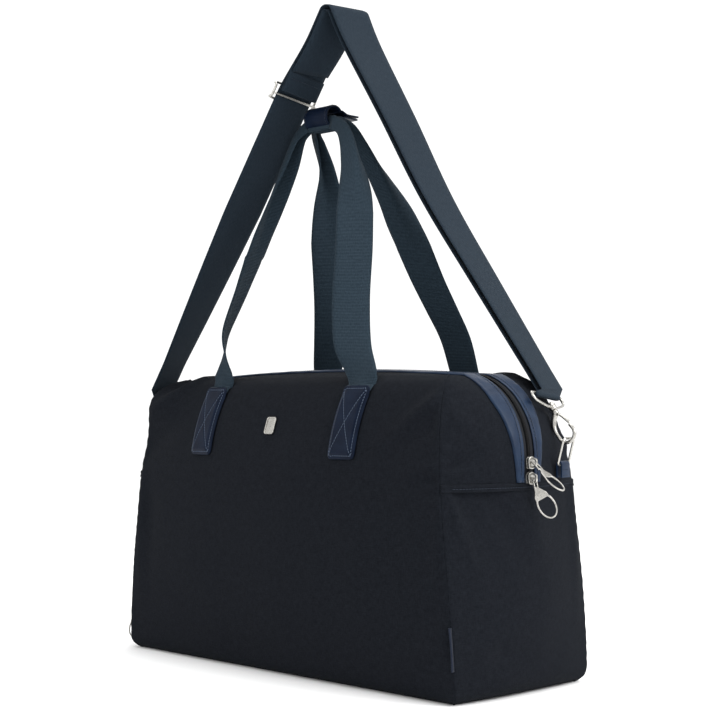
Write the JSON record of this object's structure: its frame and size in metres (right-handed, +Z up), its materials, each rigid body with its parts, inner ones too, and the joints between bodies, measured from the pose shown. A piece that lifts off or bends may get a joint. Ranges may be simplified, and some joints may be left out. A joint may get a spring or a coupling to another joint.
{
  "type": "weekender bag",
  "caption": "Soft zipped weekender bag with gathered webbing handles, a clip-on shoulder strap, leather-trimmed zip, end pocket and zipped shoe compartment.",
  "frame": {"origin": "middle of the base, on the surface the bag stands on", "axes": "+Z up; +X along the bag's length to the right end, where the main zip's sliders rest; -Y is the front, with the badge plate"},
  "size_m": [0.556, 0.2232, 0.6937],
  "materials": {
    "shell": "fine navy-black twill",
    "webbing": "ribbed navy webbing",
    "leather": "smooth navy leather, slight gloss",
    "lining": "plain woven lining",
    "board": "stiffening board",
    "zip": "black coil zip and tape",
    "nickel": "satin nickel",
    "label": "blank woven tag"
  },
  "bodies": {
    "bag": {"front_panel": "shell", "back_panel": "shell", "right_gusset_front": "shell", "right_gusset_back": "shell", "left_gusset_front": "shell", "left_gusset_back": "shell", "right_end_pocket": "shell", "left_end_door": "shell", "left_end_surround": "shell", "left_end_foot": "shell", "base_panel": "shell", "base_board": "board", "lining": "lining", "zip_trim_front": "leather", "zip_trim_back": "leather", "zip_tape_front": "zip", "zip_tape_back": "zip", "zip_chain": "zip", "shoe_zip_chain": "zip", "patch_front_right": "leather", "patch_front_left": "leather", "patch_back_right": "leather", "patch_back_left": "leather", "handle_front": "webbing", "handle_back": "webbing", "d_ring_tab_right": "leather", "d_ring_tab_left": "leather", "badge_plate": "nickel", "side_tag": "label"},
    "zip_slider_upper": {"zip_slider_upper": "nickel"},
    "zip_slider_lower": {"zip_slider_lower": "nickel"},
    "zip_pull_upper": {"zip_pull_upper": "nickel"},
    "zip_pull_lower": {"zip_pull_lower": "nickel"},
    "shoe_zip_slider": {"shoe_zip_slider": "nickel"},
    "shoe_zip_pull": {"shoe_zip_pull": "nickel"},
    "handle_wrap": {"handle_wrap": "leather", "wrap_snap_stud": "nickel"},
    "wrap_flap": {"wrap_flap": "leather", "wrap_snap_cap": "nickel"},
    "d_ring_right": {"d_ring_right": "nickel"},
    "d_ring_left": {"d_ring_left": "nickel"},
    "strap": {"strap_webbing": "webbing", "strap_return_run": "webbing", "hook_loop_right": "nickel", "hook_loop_left": "nickel"},
    "hook_right": {"hook_right": "nickel"},
    "hook_left": {"hook_left": "nickel"},
    "hook_gate_right": {"hook_gate_right": "nickel"},
    "hook_gate_left": {"hook_gate_left": "nickel"},
    "strap_adjuster": {"strap_adjuster": "nickel"}
  },
  "joints": [
    {"name": "zip_slider_upper_travel", "type": "hinge", "parent": "bag", "child": "zip_slider_upper", "pos_m": [0.1765, 0, 0.2215], "axis": [0, -1, 0], "range_deg": [0, 27]},
    {"name": "zip_pull_upper_swing", "type": "hinge", "parent": "zip_slider_upper", "child": "zip_pull_upper", "pos_m": [0.25827, 0, 0.2165], "axis": [0, 1, 0], "range_deg": [-28, 10]},
    {"name": "zip_slider_lower_travel", "type": "slide", "parent": "bag", "child": "zip_slider_lower", "axis": [0, 0, 1], "range_m": [0, 0.002]},
    {"name": "zip_pull_lower_swing", "type": "hinge", "parent": "zip_slider_lower", "child": "zip_pull_lower", "pos_m": [0.25814, 0, 0.202], "axis": [0, 1, 0], "range_deg": [-12, 4]},
    {"name": "shoe_zip_travel", "type": "slide", "parent": "bag", "child": "shoe_zip_slider", "axis": [0.0514, 0, 0.9987], "range_m": [0, 0.055]},
    {"name": "shoe_zip_pull_swing", "type": "hinge", "parent": "shoe_zip_slider", "child": "shoe_zip_pull", "pos_m": [-0.25438, -0.084, 0.041], "axis": [0, 1, 0], "range_deg": [-5, 70]},
    {"name": "handles_drop", "type": "slide", "parent": "bag", "child": "handle_wrap", "axis": [0, 0, -1], "range_m": [0, 0.16], "deforming": ["handle_front", "handle_back"]},
    {"name": "wrap_flap_open", "type": "hinge", "parent": "handle_wrap", "child": "wrap_flap", "pos_m": [-0.032, 0.01142, 0.5863], "axis": [1, 0, 0], "range_deg": [0, 100]},
    {"name": "d_ring_right_swing", "type": "hinge", "parent": "bag", "child": "d_ring_right", "pos_m": [0.25011, 0.05297, 0.2135], "axis": [-0.1564, 0.9877, 0], "range_deg": [-3, 0]},
    {"name": "d_ring_left_swing", "type": "hinge", "parent": "bag", "child": "d_ring_left", "pos_m": [-0.25011, -0.05297, 0.2135], "axis": [0.1564, -0.9877, 0], "range_deg": [-3, 0]},
    {"name": "strap_swing", "type": "hinge", "parent": "bag", "child": "strap", "pos_m": [0.25676, 0.05402, 0.23861], "axis": [0.9786, 0.2059, 0], "range_deg": [-12, 3]},
    {"name": "hook_right_swivel", "type": "hinge", "parent": "strap", "child": "hook_right", "pos_m": [0.25676, 0.05402, 0.23861], "axis": [-0.5453, -0.0236, 0.8379], "range_deg": [-8, 8]},
    {"name": "hook_left_swivel", "type": "hinge", "parent": "strap", "child": "hook_left", "pos_m": [-0.25676, -0.05402, 0.23861], "axis": [0.5021, -0.0131, 0.8647], "range_deg": [-8, 8]},
    {"name": "gate_right_open", "type": "hinge", "parent": "hook_right", "child": "hook_gate_right", "pos_m": [0.24502, 0.05387, 0.26135], "axis": [-0.156, 0.985, -0.0738], "range_deg": [0, 28], "stiffness_Nm_per_rad": 0.02},
    {"name": "gate_left_open", "type": "hinge", "parent": "hook_left", "child": "hook_gate_left", "pos_m": [-0.24619, -0.05484, 0.2619], "axis": [0.1556, -0.9822, -0.1052], "range_deg": [0, 28], "stiffness_Nm_per_rad": 0.02},
    {"name": "adjuster_slide", "type": "slide", "parent": "strap", "child": "strap_adjuster", "axis": [-0.4637, -0.1345, -0.8757], "range_m": [0, 0.11], "deforming": ["strap_return_run"]}
  ]
}
